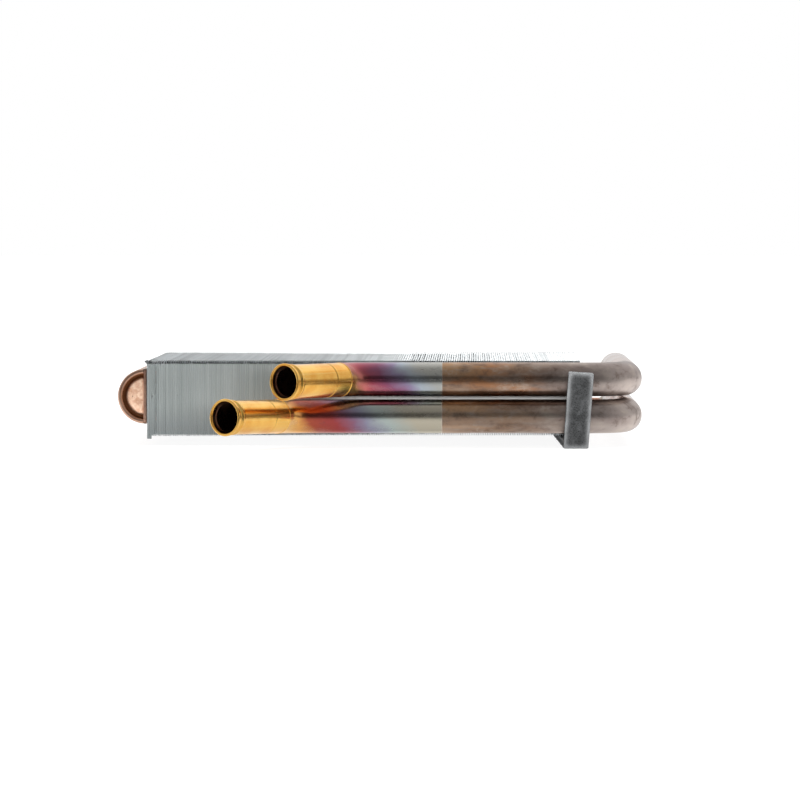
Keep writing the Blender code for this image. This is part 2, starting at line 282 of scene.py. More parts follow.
OUTLET_TINT = [
    (0, (0.62, 0.33, 0.11)), (5, (0.4, 0.16, 0.1)),
    (12, (0.56, 0.16, 0.15)), (19, (0.42, 0.085, 0.12)),
    (29, (0.28, 0.09, 0.165)), (38, (0.3, 0.24, 0.37)),
    (45, (0.4, 0.45, 0.51)), (54, (0.42, 0.43, 0.41)),
]
INLET_TINT = [
    (0, (0.86, 0.5, 0.17)), (8, (0.8, 0.4, 0.12)),
    (20, (0.42, 0.095, 0.055)), (32, (0.36, 0.065, 0.065)),
    (42, (0.26, 0.15, 0.23)), (50, (0.28, 0.27, 0.36)),
    (62, (0.4, 0.46, 0.44)), (76, (0.47, 0.43, 0.34)),
]


def tinted_copper(name, tint_stops, line_at, header_at, dark_band_strength):
    """A pipe's copper. Heat colours run from the spigot to a sharp line where the cleaning stopped,
    brown oxide with rust, grey and mauve patches covers the rest, and the header is smoother."""
    s = Surface(name, 1.0, 0.3)
    along, height = s.attribute("along"), s.attribute("height")
    above = s.spread(height, -0.15, 0.75)
    film = s.noise(150, 4.0, (0.35, 1, 1))
    tint = heat_colours(s, tint_stops, line_at, along, height)
    before_line = s.spread(along, line_at - 24 * MM, line_at - 8 * MM, 0.04, 0.36)
    tint = s.mix(s.times(above, before_line), tint, (0.58, 0.54, 0.46))
    tint = s.stain(tint, (0.46, 0.46, 0.48), film, 0.5, 0.72, 0.14)
    stains = s.noise(230, 6.0, (0.5, 1, 1), 0.6, 0.65)
    tint = s.stain(tint, (0.1, 0.08, 0.1), stains, 0.6, 0.72, 0.55)

    patches = s.noise(30, 5.0, (0.45, 1.0, 1.4), 0.4)
    grain = s.noise(300, 4.0, (0.25, 1, 1))
    far = s.spread(along, line_at + 32 * MM, line_at + 85 * MM)
    past_line = s.spread(along, line_at + 8 * MM, line_at + 34 * MM, 0.75, 0.0)
    oxide = oxide_colours(s, patches, grain, far, s.times(past_line, above))
    # painted shade: a dark band round the pipe's lower middle, standing in for the dark part of its
    # reflection
    painted_dark_band = s.spread(s.math("ABSOLUTE", s.plus(height, 0.3)), 0.1, 0.34, 1.0, 0.2)
    dark_band_fades = s.spread(along, line_at + 95 * MM, line_at + 45 * MM, 0.35, 1.0)
    oxide = s.mix(s.times(painted_dark_band, dark_band_fades, dark_band_strength), oxide, (0.1, 0.068, 0.052))

    oxidised = s.spread(along, line_at - 0.2 * MM, line_at + 0.2 * MM)
    colour = s.mix(oxidised, tint, oxide)
    off_line = s.math("ABSOLUTE", s.minus(along, line_at))
    colour = s.mix(s.spread(off_line, 0.2 * MM, 0.6 * MM, 0.2, 0.0), colour, (0.8, 0.74, 0.66))
    header = s.spread(along, header_at, header_at + 15 * MM)
    s.set("Base Color", s.mix(s.times(header, 0.5), colour, (0.72, 0.52, 0.44)))
    rough_tint = s.spread(film, 0.35, 0.7, 0.17, 0.3)
    rough_oxide = s.plus(s.spread(patches, 0.3, 0.7, 0.24, 0.36), s.times(far, 0.1))
    rough_oxide = s.minus(rough_oxide, s.times(header, 0.22))
    s.set("Roughness", s.plus(rough_tint, s.times(s.minus(rough_oxide, rough_tint), oxidised)))
    s.bump(s.plus(grain, s.times(patches, 2.0)), 0.25, 0.00012)
    return s.material


def heat_colours(s, tint_stops, line_at, along, height):
    """The tint by the distance along the pipe. It wanders, and is further on at the top of the pipe."""
    wander = s.noise(60, 8.0, (0.8, 1.0, 1.6), 0.3, 0.62)
    drift = s.plus(s.times(s.minus(wander, 0.5), 19 * MM), s.times(height, 8 * MM))
    progress = s.times(s.plus(along, drift), 1.0 / line_at)
    return s.ramp(progress, [(at * MM / line_at, colour) for at, colour in tint_stops])


def oxide_colours(s, patches, grain, far, tanned):
    """Brown oxide, rusty in places, tan where the heat stopped, and mauve-grey far from it."""
    rust = s.noise(42, 4.0, (0.5, 1.0, 1.3), 0.8)
    mottle = s.noise(120, 8.0, (0.7, 1, 1), 0.3, 0.7)
    oxide = s.mix(s.spread(patches, 0.36, 0.62), (0.25, 0.155, 0.105), (0.48, 0.325, 0.225))
    oxide = s.stain(oxide, (0.46, 0.2, 0.085), rust, 0.52, 0.68, 0.8)
    oxide = s.mix(tanned, oxide, (0.5, 0.29, 0.145))
    oxide = s.stain(oxide, (0.36, 0.335, 0.315), grain, 0.42, 0.7, 0.4)
    mauve = s.mix(s.spread(patches, 0.35, 0.65), (0.34, 0.28, 0.26), (0.55, 0.475, 0.435))
    oxide = s.mix(far, oxide, mauve)
    oxide = s.stain(oxide, (0.15, 0.105, 0.085), mottle, 0.5, 0.66, 0.65)
    return s.stain(oxide, (0.6, 0.52, 0.44), mottle, 0.5, 0.34, 0.45)


def brass_material():
    """Turned and polished brass, with fine lathe lines round its axis."""
    s = Surface("spigot_brass", 1.0, 0.14)
    lathe = s.noise(900, 2.0, (0.02, 0.02, 1.0))
    cloud = s.noise(90)
    warm = s.mix(s.spread(cloud, 0.38, 0.7), (1.0, 0.58, 0.135), (0.92, 0.44, 0.075))
    s.set("Base Color", s.stain(warm, (1.0, 0.74, 0.3), lathe, 0.45, 0.7, 0.25))
    s.set("Roughness", s.spread(cloud, 0.35, 0.7, 0.15, 0.26))
    s.bump(lathe, 0.12, 0.00006)
    return s.material


def tank_material():
    """Copper that soldering has turned brown, with lighter rubbed patches."""
    s = Surface("tank_copper", 1.0, 0.38)
    cloud = s.noise(45, 5.0, (1.0, 0.5, 1.0), 0.5)
    grain = s.noise(260)
    tone = s.mix(s.spread(cloud, 0.35, 0.68), (0.46, 0.27, 0.19), (0.74, 0.48, 0.36))
    s.set("Base Color", s.stain(tone, (0.78, 0.56, 0.44), grain, 0.52, 0.75, 0.4))
    s.set("Roughness", s.spread(cloud, 0.3, 0.7, 0.3, 0.46))
    s.bump(grain, 0.2, 0.0001)
    return s.material


def cap_material():
    """Bright salmon copper, crinkled in pressing, with a ring of painted shade in its recess."""
    s = Surface("cap_copper", 1.0, 0.42)
    recess = s.attribute("recess")
    crinkle = s.noise(420, 4.0, distortion=0.8)
    tone = s.mix(s.spread(crinkle, 0.35, 0.68), (0.8, 0.47, 0.31), (1.0, 0.74, 0.56))
    # painted shade: the recess ring is darkened as if shadowed by the rim
    s.set("Base Color", s.mix(recess, tone, (0.2, 0.075, 0.03)))
    s.set("Metallic", s.spread(recess, 0.0, 1.0, 0.72, 1.0))
    s.set("Roughness", s.spread(crinkle, 0.3, 0.7, 0.34, 0.55))
    s.bump(crinkle, 0.5, 0.0003)
    return s.material


def tube_material():
    """Drawn copper, with fine lines along the tube."""
    s = Surface("tube_copper", 1.0, 0.3)
    cloud = s.noise(70, 4.0, (0.3, 1, 1))
    draw_lines = s.noise(700, 3.0, (0.03, 1, 1))
    tone = s.mix(s.spread(cloud, 0.35, 0.7), (0.72, 0.4, 0.28), (0.5, 0.27, 0.19))
    s.set("Base Color", s.stain(tone, (0.85, 0.58, 0.45), draw_lines, 0.5, 0.75, 0.35))
    s.set("Roughness", s.spread(cloud, 0.3, 0.7, 0.24, 0.42))
    s.bump(draw_lines, 0.2, 0.00006)
    return s.material


def cloudy_metal(name, metallic, cloud_scale, distortion, tones, shine, relief):
    """A metal whose tone, shine and relief all follow one soft noise."""
    s = Surface(name, metallic, shine[0])
    cloud = s.noise(cloud_scale, 4.0, distortion=distortion)
    s.set("Base Color", s.mix(s.spread(cloud, 0.35, 0.7), *tones))
    s.set("Roughness", s.spread(cloud, 0.3, 0.7, *shine))
    if relief:
        s.bump(cloud, 0.3, relief)
    return s.material


def foam_material():
    """Dark grey open-cell foam: pores a few tenths of a millimetre across, paler towards its edges."""
    s = Surface("foam_grey", 0.0, 0.95)
    pores, lumps, blotches = s.cells(1500), s.noise(260), s.noise(300, 3.0)
    tone = s.mix(s.spread(pores, 0.12, 0.55), (0.006, 0.0062, 0.0065), (0.034, 0.035, 0.036))
    tone = s.stain(tone, (0.012, 0.0122, 0.0125), lumps, 0.42, 0.7, 0.5)
    tone = s.stain(tone, (0.075, 0.077, 0.08), blotches, 0.5, 0.72, 0.4)
    # the base colour is paler towards the strip's edges
    s.set("Base Color", s.mix(s.times(s.attribute("worn"), 0.8), tone, (0.23, 0.235, 0.24)))
    s.bump(s.plus(pores, lumps), 0.7, 0.0004)
    return s.material


FIN = fin_material()
BRASS = brass_material()
TANK = tank_material()
CAP = cap_material()
TUBE = tube_material()
FOAM = foam_material()
BORE_TONES = (0.24, 0.12, 0.08), (0.4, 0.24, 0.16)
SOLDER_TONES = (0.62, 0.58, 0.52), (0.4, 0.34, 0.28)
CUP_TONES = (0.66, 0.4, 0.29), (0.42, 0.25, 0.19)
BORE = cloudy_metal("spigot_bore", 1.0, 140, 0.0, BORE_TONES, (0.22, 0.36), None)
SOLDER = cloudy_metal("solder", 0.9, 240, 0.5, SOLDER_TONES, (0.26, 0.5), 0.0002)
CUP = cloudy_metal("header_cap_copper", 1.0, 150, 0.0, CUP_TONES, (0.28, 0.48), 0.0002)


# Mesh tools


def add_piece(name, verts, faces, material, slot, replaced=(), smooth_angle=35.0, attributes=None):
    """A piece of the object, from points and faces, riding on the one body."""
    mesh = bpy.data.meshes.new(name)
    mesh.from_pydata([tuple(v) for v in verts], [], [tuple(int(i) for i in f) for f in faces])
    mesh.update()
    for attribute_name, values in (attributes or {}).items():
        attribute = mesh.attributes.new(attribute_name, "FLOAT", "POINT")
        attribute.data.foreach_set("value", np.asarray(values, np.float32))
    form = bmesh.new()
    form.from_mesh(mesh)
    bmesh.ops.recalc_face_normals(form, faces=form.faces)
    form.to_mesh(mesh)
    form.free()
    mesh.materials.append(material)
    mesh.shade_smooth()
    mesh.set_sharp_from_angle(angle=math.radians(smooth_angle))
    obj = add_object(name, mesh)
    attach(obj, BODY)
    if replaced:
        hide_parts(*replaced)
    return obj


def add_object(name, data):
    obj = bpy.data.objects.new(name, data)
    bpy.context.scene.collection.objects.link(obj)
    return obj


def spokes(count):
    """The cosine and sine of evenly spaced angles round a full turn."""
    angles = [2 * math.pi * step / count for step in range(count)]
    return [(math.cos(angle), math.sin(angle)) for angle in angles]


def joined(forms):
    """Several (points, faces) forms as one."""
    verts, faces, start = [], [], 0
    for form_verts, form_faces in forms:
        verts.extend(form_verts)
        faces.extend([[i + start for i in face] for face in form_faces])
        start += len(form_verts)
    return verts, faces


def loft(rings, close_along=False, cap_ends=False, strip_ends=False):
    """Quads between rings that all have the same number of points. The ends are closed by one face
    each or, where a ring goes out and comes back beside itself, by a strip of quads."""
    count = len(rings[0])
    verts = [point for ring in rings for point in ring]
    faces = []
    spans = len(rings) if close_along else len(rings) - 1
    for k in range(spans):
        here, there = k * count, (k + 1) % len(rings) * count
        for i in range(count):
            j = (i + 1) % count
            faces.append([here + i, here + j, there + j, there + i])
    for start in (0, (len(rings) - 1) * count):
        if cap_ends:
            faces.append(list(range(start, start + count)))
        if strip_ends:
            last = start + count - 1
            for i in range(count // 2 - 1):
                faces.append([start + i, start + i + 1, last - i - 1, last - i])
    return verts, faces


def turned(profile, steps, place):
    """The closed (radius, height) profile, in millimetres, turned about the place's own Z."""
    rings = []
    for u, v in spokes(steps):
        rings.append([place @ (MM * Vector((u * radius, v * radius, z))) for radius, z in profile])
    return loft(rings, close_along=True)


def facing(origin, heading):
    """A place whose Z points along heading."""
    return Matrix.Translation(origin) @ heading.to_track_quat("Z", "Y").to_matrix().to_4x4()


def arc_profile(centre, radius, start, end, steps):
    """Points round an arc of a (radius, height) profile, its angles in degrees."""
    points = []
    for step in range(steps + 1):
        angle = math.radians(start + (end - start) * step / steps)
        points.append((centre[0] + radius * math.cos(angle), centre[1] + radius * math.sin(angle)))
    return points


def wobble(point, scale, seed):
    """Smooth noise from -1 to 1 at a point."""
    return noise.noise(Vector(point) * scale + Vector((seed * 7.3, seed * 3.1, seed * 5.7)))


# Pipes: the same routes as the CAD pipes, in finer steps

ELBOW_RADIUS = 21 * MM
BEND_RADIUS = 20 * MM
SPIGOT_STUB = 2 * MM
SPIGOT_LENGTH = 47  # in millimetres, as are the next two
HOSE_STOP_HEIGHT = 12
HOSE_STOP_GROOVE = [(0.0, 0.5), (0.0, 0.38), (0.34, 0.12), (0.34, -0.12), (0.0, -0.38), (0.0, -0.5)]
PIPE_WALL = 0.9 * MM
PIPE_SIDES = 64
PIPE_DENTS = 0.05 * MM
FRONT_RUN_Y = -93 * MM


class Pipe:
    """The row of tubes that its header serves, where its front run ends and the last bend begins, the
    angles of that bend and of the spigot's lift in degrees, its heat colours, how far from the spigot
    they stop at a line, and how strong its painted shade is: a dark band standing in for the dark
    part of its reflection."""

    def __init__(self, row, run_end_x, bend_angle, lift, tint, line_at, dark_band_strength):
        self.row, self.run_end_x, self.bend_angle, self.lift = row, run_end_x, bend_angle, lift
        self.tint, self.line_at, self.dark_band_strength = tint, line_at, dark_band_strength


PIPES = {
    "inlet": Pipe("lower", -28.9 * MM, 56.0, 1.7, INLET_TINT, 93.2 * MM, 0.5),
    "outlet": Pipe("upper", 4.2 * MM, 53.0, 0.2, OUTLET_TINT, 59.2 * MM, 0.12),
}


def straight(start, end, spacing):
    count = max(1, round((end - start).length / spacing))
    return [start.lerp(end, k / count) for k in range(count)]


def pipe_route(pipe):
    """The centreline from the header's closed end to the spigot, and the way that the spigot points."""
    row_z = ROW_Z[pipe.row]
    header_end = Vector((HEADER_X, HEADER_END_Y, row_z))
    elbow_start = Vector((HEADER_X, FRONT_RUN_Y + ELBOW_RADIUS, row_z))
    points = straight(header_end, elbow_start, 3 * MM)
    elbow_centre = elbow_start - Vector((ELBOW_RADIUS, 0, 0))
    for step in range(25):
        angle = math.pi / 2 * step / 24
        points.append(elbow_centre + ELBOW_RADIUS * Vector((math.cos(angle), -math.sin(angle), 0)))
    run_end = Vector((pipe.run_end_x, FRONT_RUN_Y, row_z))
    points.extend(straight(points.pop(), run_end, 2.5 * MM))
    level_out = Matrix.Rotation(-math.radians(pipe.lift), 3, "X")
    turn = math.radians(pipe.bend_angle)
    for step in range(19):
        angle = turn * step / 18
        offset = BEND_RADIUS * Vector((-math.sin(angle), math.cos(angle) - 1, 0))
        points.append(run_end + level_out @ offset)
    heading = level_out @ Vector((-math.cos(turn), -math.sin(turn), 0))
    points.append(points[-1] + SPIGOT_STUB * heading)
    return points, heading


def swept_tube(route, seed):
    """A hollow pipe along the route, a little dented. Each point keeps how far it is from the route's
    end, and how high it is round the pipe."""
    lengths = [0.0]
    for here, there in zip(route, route[1:]):
        lengths.append(lengths[-1] + (there - here).length)
    outer, inner, along, height = [], [], [], []
    last = len(route) - 1
    for k, point in enumerate(route):
        tangent = (route[min(k + 1, last)] - route[max(k - 1, 0)]).normalized()
        side = tangent.cross(Vector((0, 0, 1))).normalized()
        up = side.cross(tangent)
        outer_ring, inner_ring = [], []
        for u, v in spokes(PIPE_SIDES):
            across = u * side + v * up
            dent = PIPE_DENTS * wobble(point + across * PIPE_RADIUS, 95.0, seed)
            outer_ring.append(point + across * (PIPE_RADIUS + dent))
            inner_ring.append(point + across * (PIPE_RADIUS - PIPE_WALL))
            height.append(v)
        outer.append(outer_ring)
        inner.append(inner_ring)
        along.extend([lengths[-1] - lengths[k]] * PIPE_SIDES)
    inner.reverse()
    verts, faces = loft(outer + inner, close_along=True)
    return verts, faces, {"along": along + along[::-1], "height": height + height}


def spigot_profile(length):
    """From the mouth outside to the pipe, then the bore back to the mouth, in millimetres."""
    lip, shoulder, body, groove = 10.0, 9.5, 9.22, 8.65
    bore, ridge, mouth = 8.25, 7.65, 8.75
    outside = [(mouth + 0.25, length)]
    outside += arc_profile((lip - 0.75, length - 0.75), 0.75, 80, 0, 6)
    outside += arc_profile((lip - 0.75, length - 1.35), 0.75, 0, -50, 4)
    outside += arc_profile((groove + 0.75, length - 3.6), 0.75, 120, 235, 7)
    outside += arc_profile((shoulder - 0.4, length - 5.3), 0.4, 75, 0, 3)
    outside += arc_profile((shoulder - 0.4, length - 6.0), 0.4, 0, -60, 3)
    outside += [(body, length - 7.0), (body, length - 7.12)]
    outside += [(body - depth, HOSE_STOP_HEIGHT + height) for depth, height in HOSE_STOP_GROOVE]
    outside += [(body, 0.45), (body, 0.3), (body - 0.2, 0.05)]
    outside += [(8.0, 0.0), (8.0, -3.0), (7.4, -3.0), (7.4, 1.0)]
    inside = [(bore, 3.0), (bore, length - 6.0), (bore, length - 5.0)]
    inside += arc_profile((ridge + 0.8, length - 3.7), 0.8, 235, 125, 6)
    inside += [(bore, length - 2.0), (bore + 0.1, length - 0.9), (mouth, length - 0.25)]
    return outside, inside


def make_spigot(name, origin, heading):
    outside, inside = spigot_profile(SPIGOT_LENGTH)
    verts, faces = turned(outside + inside, 96, facing(origin, heading))
    node = f"{name}_spigot"
    spigot = add_piece(f"{node}_turned", verts, faces, BRASS, "spigot_brass", (node,), 50.0)
    spigot.data.materials.append(BORE)
    count = len(outside) + len(inside)
    first_inside = len(outside) - 4
    for face in spigot.data.polygons:
        places = [i % count for i in face.vertices]
        if min(places) >= first_inside and max(places) < count - 1:
            face.material_index = 1


def ring_of_solder(origin, heading, ring_radius, thickness, seed):
    """A run bead round a joint, uneven like real solder."""
    place, axis = facing(origin, heading), Vector((0, 0, 1))
    rings = []
    for u, v in spokes(72):
        across = Vector((u, v, 0))
        size = thickness * (1.0 + 0.35 * wobble(across * 1.7, 1.0, seed))
        section = [(ring_radius + size * a, 1.6 * size * b) for a, b in spokes(10)]
        rings.append([place @ (across * radius + axis * along) for radius, along in section])
    return loft(rings, close_along=True)


def tube_fillet(y, z, seed):
    """Solder round one tube where it enters the header's curved side."""
    quarter = [math.radians(15 * k) for k in range(7)]
    rings = []
    for u, v in spokes(28):
        reach = 1.5 * MM * (1.0 + 0.25 * wobble((u, v, y * 90), 1.3, seed))
        # how far out from the tube and how far off the header's side each point is
        profile = [(reach * (1 - math.sin(a)), -reach * (1 - math.cos(a))) for a in quarter]
        profile += [(-0.2 * MM, -reach), (-0.2 * MM, 0.5 * MM)]
        ring = []
        for out, off in profile:
            radius = TUBE_RADIUS + out
            side_x = HEADER_X - math.sqrt(PIPE_RADIUS**2 - (radius * v) ** 2)
            ring.append(Vector((side_x + off, y + radius * u, z + radius * v)))
        rings.append(ring)
    return loft(rings, close_along=True)


def make_header_cap(name, row_z):
    """A shallow pressed cup in the header's far end, a little sunk in the middle."""
    radius = (PIPE_RADIUS - PIPE_WALL) / MM
    place = facing(Vector((HEADER_X, HEADER_END_Y - 1.2 * MM, row_z)), Vector((0, 1, 0)))
    profile = [(0.01, -0.9), (3.0, -0.85), (5.2, -0.6)]
    profile += arc_profile((radius - 1.2, -1.0), 1.0, 110, 20, 6)
    profile += [(radius - 0.1, -3.0), (radius - 1.0, -3.0), (radius - 1.1, -1.9)]
    profile += [(5.0, -1.7), (0.01, -1.9)]
    verts, faces = turned(profile, 64, place)
    add_piece(f"{name}_header_cup", verts, faces, CUP, "tank_copper", (f"{name}_header_cap",))


def make_pipes():
    header_length = HEADER_END_Y - FRONT_RUN_Y - ELBOW_RADIUS
    for seed, (name, pipe) in enumerate(PIPES.items()):
        row_z = ROW_Z[pipe.row]
        route, heading = pipe_route(pipe)
        verts, faces, attributes = swept_tube(route, seed + 1)
        header_at = max(attributes["along"]) - header_length
        copper = tinted_copper(f"{name}_copper", pipe.tint, pipe.line_at, header_at, pipe.dark_band_strength)
        node = f"{name}_pipe"
        add_piece(f"{node}_bent", verts, faces, copper, "pipe_copper", (node,), attributes=attributes)
        make_spigot(name, route[-1], heading)
        make_header_cap(name, row_z)
        joint = route[-1] - 0.05 * MM * heading
        braze = ring_of_solder(joint, heading, PIPE_RADIUS - 0.1 * MM, 0.28 * MM, seed)
        add_piece(f"{name}_spigot_braze", *braze, BRASS, "spigot_brass")
        cap_edge = Vector((HEADER_X, HEADER_END_Y - 1.1 * MM, row_z))
        bore = PIPE_RADIUS - PIPE_WALL - 0.1 * MM
        end_bead = ring_of_solder(cap_edge, Vector((0, 1, 0)), bore, 0.45 * MM, seed + 4)
        fillets = [tube_fillet(y, row_z, seed + k) for k, y in enumerate(COLUMN_Y)]
        add_piece(f"{name}_header_solder", *joined([end_bead, *fillets]), SOLDER, "tube_copper")


# Tubes


def make_tubes():
    radius, length = TUBE_RADIUS / MM, (TUBE_HIGH.x - TUBE_LOW.x) / MM
    bore = radius - 0.45
    profile = [(radius, length - 0.2), (radius, 0.6), (radius + 0.15, 0.1), (radius, 0.0)]
    profile += [(bore + 0.1, 0.0), (bore, 0.6), (bore, length), (radius - 0.2, length)]
    for row, z in ROW_Z.items():
        for column, y in enumerate(COLUMN_Y, 1):
            form = turned(profile, 32, facing(Vector((TUBE_LOW.x, y, z)), Vector((1, 0, 0))))
            name, node = f"{row}_drawn_tube_{column:02d}", f"{row}_tube_{column:02d}"
            add_piece(name, *form, TUBE, "tube_copper", (node,))


# Fins: each is a thin sheet with twenty holes, wavy across the air's way. Its top and bottom edges are
# a little bent over, and its short sides are bent so that they nearly close the block's narrow faces.

FIN_PACKS = 5
FINS_PER_PACK = 38
FIN_COUNT = FIN_PACKS * FINS_PER_PACK
FIN_PITCH = (CORE_HIGH.x - CORE_LOW.x) / FIN_COUNT
FIN_THICKNESS = 0.12 * MM
FIN_HOLE_RADIUS = TUBE_RADIUS + 0.03 * MM
WAVE_HEIGHT = 0.2 * MM
LIP_HEIGHT = 0.45 * MM
LIP_REACH = 0.84 * MM
FOOT_REACH = 0.1 * MM
SIDE_STEP = 1.1 * MM
CELLS_LOW_Y = COLUMN_Y[0] - COLUMN_PITCH / 2
CELLS_HIGH_Y = COLUMN_Y[-1] + COLUMN_PITCH / 2
SHEET_LOW_Z = CORE_LOW.z + LIP_HEIGHT
SHEET_HIGH_Z = CORE_HIGH.z - LIP_HEIGHT
# dents in the near face: along, up, depth and radius in millimetres from its lower left corner
FACE_DENTS = [(15.2, 31.0, 0.22, 1.2), (21.8, 18.8, 0.26, 1.3), (48.3, 36.5, 0.22, 1.2)]
FACE_DENTS += [(31.0, 10.5, 0.2, 1.6)]
FOLDED_FIN = 3  # its bent side has sunk, which shows as a dark line with a notch halfway up
FOLD_NOTCH_Z = 22.5 * MM
CRUMPLED_FINS = 13


def ray_to_border(low, high, centre, angle):
    """Where the ray from the centre at this angle leaves the rectangle."""
    across, up = math.cos(angle), math.sin(angle)
    reach = []
    if abs(across) > 1e-9:
        reach.append(((high[0] if across > 0 else low[0]) - centre[0]) / across)
    if abs(up) > 1e-9:
        reach.append(((high[1] if up > 0 else low[1]) - centre[1]) / up)
    return centre[0] + across * min(reach), centre[1] + up * min(reach)


def bearing(centre, point):
    return round(math.atan2(point[1] - centre[1], point[0] - centre[0]) % (2 * math.pi), 9)


class FinPattern:
    """The points (y, z) and faces that every fin shares, with what is special about some points."""

    def __init__(self):
        self.points, self.faces, self.index = [], [], {}
        self.side_rows, self.lips = {}, []
        self.add_cells()
        self.add_sides()
        self.add_lips()

    def add(self, y, z):
        key = (round(y * 1e7), round(z * 1e7))
        if key not in self.index:
            self.index[key] = len(self.points)
            self.points.append((y, z))
        return self.index[key]

    def add_cells(self):
        """A rectangle of sheet round each tube, open where the tube passes."""
        rows = {"lower": (SHEET_LOW_Z, ROW_MIDDLE_Z), "upper": (ROW_MIDDLE_Z, SHEET_HIGH_Z)}
        for row, (low_z, high_z) in rows.items():
            for column, y in enumerate(COLUMN_Y):
                low, high = (y - COLUMN_PITCH / 2, low_z), (y + COLUMN_PITCH / 2, high_z)
                self.add_cell((y, ROW_Z[row]), low, high, column in (0, TUBE_COLUMNS - 1))

    def add_cell(self, centre, low, high, outermost):
        y, z = centre
        aims = [(u, v) for u in (low[0], high[0]) for v in (low[1], high[1])]
        aims += [(y + 1.0, z), (y - 1.0, z), (y, z + 1.0), (y, z - 1.0)]
        angles = {bearing(centre, aim) for aim in aims}
        ordered = sorted(angles)
        after = ordered[1:] + [ordered[0] + 2 * math.pi]
        angles |= {(a + b) / 2 for a, b in zip(ordered, after)}
        if outermost:
            edge_y = low[0] if y == COLUMN_Y[0] else high[0]
            height = high[1] - low[1]
            steps = round(height / SIDE_STEP)
            angles |= {bearing(centre, (edge_y, low[1] + height * k / steps)) for k in range(1, steps)}
        ordered = sorted(angles)
        radius = FIN_HOLE_RADIUS
        hole = [self.add(y + radius * math.cos(a), z + radius * math.sin(a)) for a in ordered]
        border = [self.add(*ray_to_border(low, high, centre, a)) for a in ordered]
        for i in range(len(ordered)):
            j = (i + 1) % len(ordered)
            self.faces.append((hole[i], border[i], border[j], hole[j]))

    def extend(self, border, places, flipped):
        """A row of points at these places, joined to the border by faces."""
        current = [len(self.points) + k for k in range(len(places))]
        self.points.extend(places)
        for k in range(len(border) - 1):
            quad = (border[k], border[k + 1], current[k + 1], current[k])
            self.faces.append(quad[::-1] if flipped else quad)
        return current

    def add_sides(self):
        """Rows beyond the outer columns: the first is still in the sheet, the rest are bent over."""
        for direction, edge_y in ((-1, CELLS_LOW_Y), (1, CELLS_HIGH_Y)):
            border = [i for i, (y, _) in enumerate(self.points) if abs(y - edge_y) < 1e-7]
            rows = [sorted(border, key=lambda i: self.points[i][1])]
            for row in range(1, 5):
                y = edge_y + direction * row * 0.01 * MM
                places = [(y, self.points[i][1]) for i in rows[0]]
                rows.append(self.extend(rows[-1], places, direction > 0))
            self.side_rows[direction] = rows[1:]

    def add_lips(self):
        """The strips along the bottom and the top that are bent over."""
        bent = {i for rows in self.side_rows.values() for row in rows[1:] for i in row}
        for sheet_z, lip_z in ((SHEET_LOW_Z, CORE_LOW.z), (SHEET_HIGH_Z, CORE_HIGH.z)):
            on_edge = [i for i, (_, z) in enumerate(self.points) if abs(z - sheet_z) < 1e-7]
            border = sorted((i for i in on_edge if i not in bent), key=lambda i: self.points[i][0])
            places = [(self.points[i][0], lip_z) for i in border]
            self.lips.append((border, self.extend(border, places, lip_z == CORE_HIGH.z)))


def fin_surface(pattern, number, rng):
    """Where this fin's points are: its waves, lean, bent sides and lips, and the marks of handling."""
    y, z = np.array(pattern.points).T.copy()
    own_x = CORE_LOW.x + 0.2 * MM + number * FIN_PITCH
    x = own_x + WAVE_HEIGHT * np.cos(2 * np.pi * (y - COLUMN_Y[0]) / COLUMN_PITCH)
    x += rng.normal(0.0, 0.03) * MM * z / CORE_HIGH.z + rng.normal(0.0, 0.04) * MM * np.sin(y * 23)
    for direction, rows in pattern.side_rows.items():
        side_y = CORE_LOW.y if direction < 0 else CORE_HIGH.y
        sink = (0.06 + abs(rng.normal(0.0, 0.035))) * MM
        reach = FIN_PITCH * 0.985
        tip = rng.normal(0.0, 0.02) * MM
        if rng.random() < 0.07:
            sink += 0.12 * MM
        if direction < 0 and number == FOLDED_FIN:
            sink += 0.42 * MM
            reach *= 0.8
        places = [(0.25 * MM, 0.0), (0.06 * MM, 0.08 * MM), (0.0, 0.25 * MM), (0.05 * MM + tip, reach)]
        short_top = (1.35 + rng.normal(0.0, 0.16)) * MM
        short_bottom = (0.55 + rng.normal(0.0, 0.15)) * MM if number > 1 else 0.0
        for number_of_row, (row, (inwards, along)) in enumerate(zip(rows, places)):
            y[row] = side_y - direction * (sink + inwards)
            x[row] = own_x + along
            if number_of_row:
                z[row[-1]] = CORE_HIGH.z - short_top
                z[row[0]] = CORE_LOW.z + short_bottom
    for (border, lip), direction in zip(pattern.lips, (-1, 1)):
        reach = (LIP_REACH if direction > 0 else FOOT_REACH) * (0.85 + 0.3 * rng.random())
        ripple = np.array([wobble((number * 0.9, y[i] * 160, direction), 1.0, 4) for i in border])
        x[lip] = x[border] + reach * (1.0 + 0.35 * ripple)
        y[lip] = y[border]
        z[lip] -= direction * (0.02 + 0.1 * np.abs(ripple)) * MM
    return handled(np.column_stack([x, y, z]), number)


def share(value, whole=1.0):
    """The value as a share of the whole, from none to all of it."""
    return np.clip(value / whole, 0.0, 1.0)


